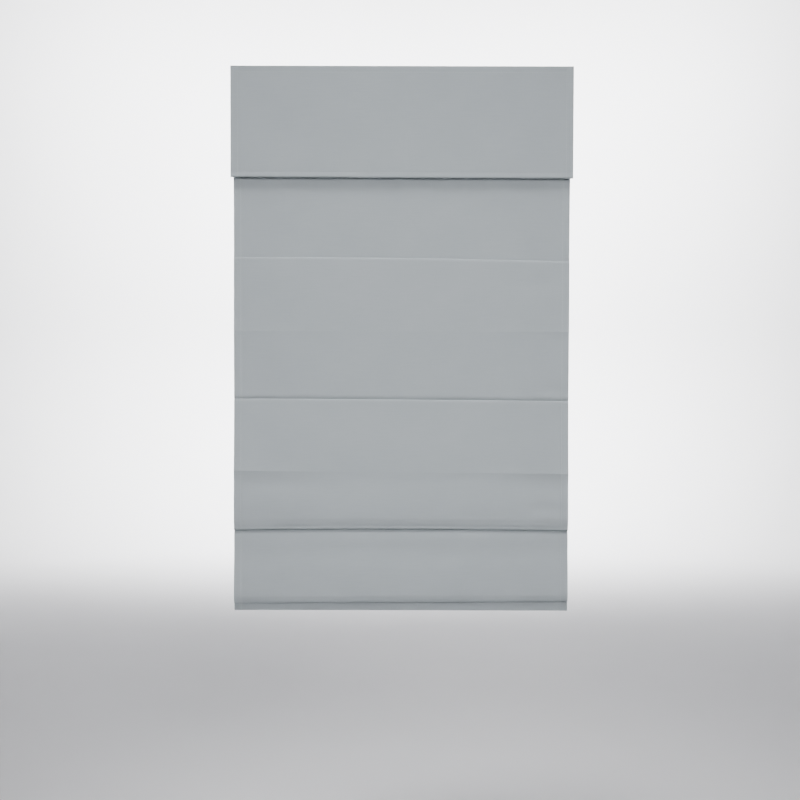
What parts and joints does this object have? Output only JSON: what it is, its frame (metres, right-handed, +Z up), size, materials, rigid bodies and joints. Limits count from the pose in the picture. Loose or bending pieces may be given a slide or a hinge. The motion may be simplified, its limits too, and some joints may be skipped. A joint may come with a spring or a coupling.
{
  "type": "roman blind",
  "caption": "Cordless roman blind: plain grey cloth behind a flat valance, gathered from the bottom on battens by lift cords and a spring-driven shaft in the headrail.",
  "frame": {"origin": "midway between the four screw holes, on the top faces of the two ceiling brackets", "axes": "+X across the blind to the right as seen from the room, -Y towards the room, +Z up"},
  "size_m": [0.787, 0.0476, 1.259],
  "materials": {
    "cloth": "matt plain-woven polyester",
    "pocket": "matt plain-woven polyester",
    "tape": "hook-and-loop tape",
    "cord": "braided polyester",
    "rail": "white powder coat on aluminium",
    "steel": "white painted steel",
    "plastic": "moulded",
    "spool": "moulded acetal",
    "ring": "moulded",
    "rod": "drawn glass-fibre rod",
    "bar": "mill",
    "shaft": "drawn",
    "spring_steel": "oiled"
  },
  "bodies": {
    "headrail": {"headrail": "rail", "rail_end_cap_left": "plastic", "rail_end_cap_right": "plastic", "bracket_left": "steel", "bracket_right": "steel", "cord_cradle_left": "plastic", "cord_cradle_centre": "plastic", "cord_cradle_right": "plastic", "lift_spring_tube": "plastic", "lift_spring_anchor": "plastic", "lift_spring": "spring_steel", "fabric": "cloth", "fabric_top_rod": "rod", "valance": "cloth", "valance_hook_tape": "tape", "valance_loop_tape": "tape", "lift_cord_left": "cord", "lift_cord_centre": "cord", "lift_cord_right": "cord"},
    "lift_shaft": {"lift_shaft": "shaft", "shaft_collar_left": "plastic", "shaft_collar_right": "plastic", "cord_spool_left": "spool", "cord_spool_centre": "spool", "cord_spool_right": "spool", "lift_spring_hub": "plastic"},
    "batten_1": {"batten_1": "rod", "batten_pocket_1": "pocket", "cord_rings_1": "ring"},
    "batten_2": {"batten_2": "rod", "batten_pocket_2": "pocket", "cord_rings_2": "ring"},
    "batten_3": {"batten_3": "rod", "batten_pocket_3": "pocket", "cord_rings_3": "ring"},
    "batten_4": {"batten_4": "rod", "batten_pocket_4": "pocket", "cord_rings_4": "ring", "cord_stops": "ring", "bottom_bar": "bar", "bottom_bar_cap_left": "ring", "bottom_bar_cap_right": "ring"}
  },
  "joints": [
    {"name": "batten_1_lift", "type": "slide", "parent": "headrail", "child": "batten_1", "axis": [0, 0, 1], "range_m": [0, 0.381], "deforming": ["fabric"]},
    {"name": "batten_2_lift", "type": "slide", "parent": "batten_1", "child": "batten_2", "axis": [0, 0, 1], "range_m": [0, 0.305]},
    {"name": "batten_3_lift", "type": "slide", "parent": "batten_2", "child": "batten_3", "axis": [0, 0, 1], "range_m": [0, 0.274]},
    {"name": "last_fold_drop", "type": "slide", "parent": "batten_3", "child": "batten_4", "axis": [0, 0, 1], "range_m": [-0.305, 0]},
    {"name": "shaft_turn", "type": "hinge", "parent": "headrail", "child": "lift_shaft", "pos_m": [0, 0, -0.0185], "axis": [1, 0, 0], "continuous": true, "deforming": ["lift_cord_left", "lift_cord_centre", "lift_cord_right", "lift_spring"]}
  ],
  "couplings": [
    {"joint": "batten_2_lift", "follows": "batten_1_lift", "ratio": 0.80052},
    {"joint": "batten_3_lift", "follows": "batten_1_lift", "ratio": 0.71916},
    {"joint": "shaft_turn", "follows": "batten_1_lift", "rad_per_m": 229.06}
  ]
}
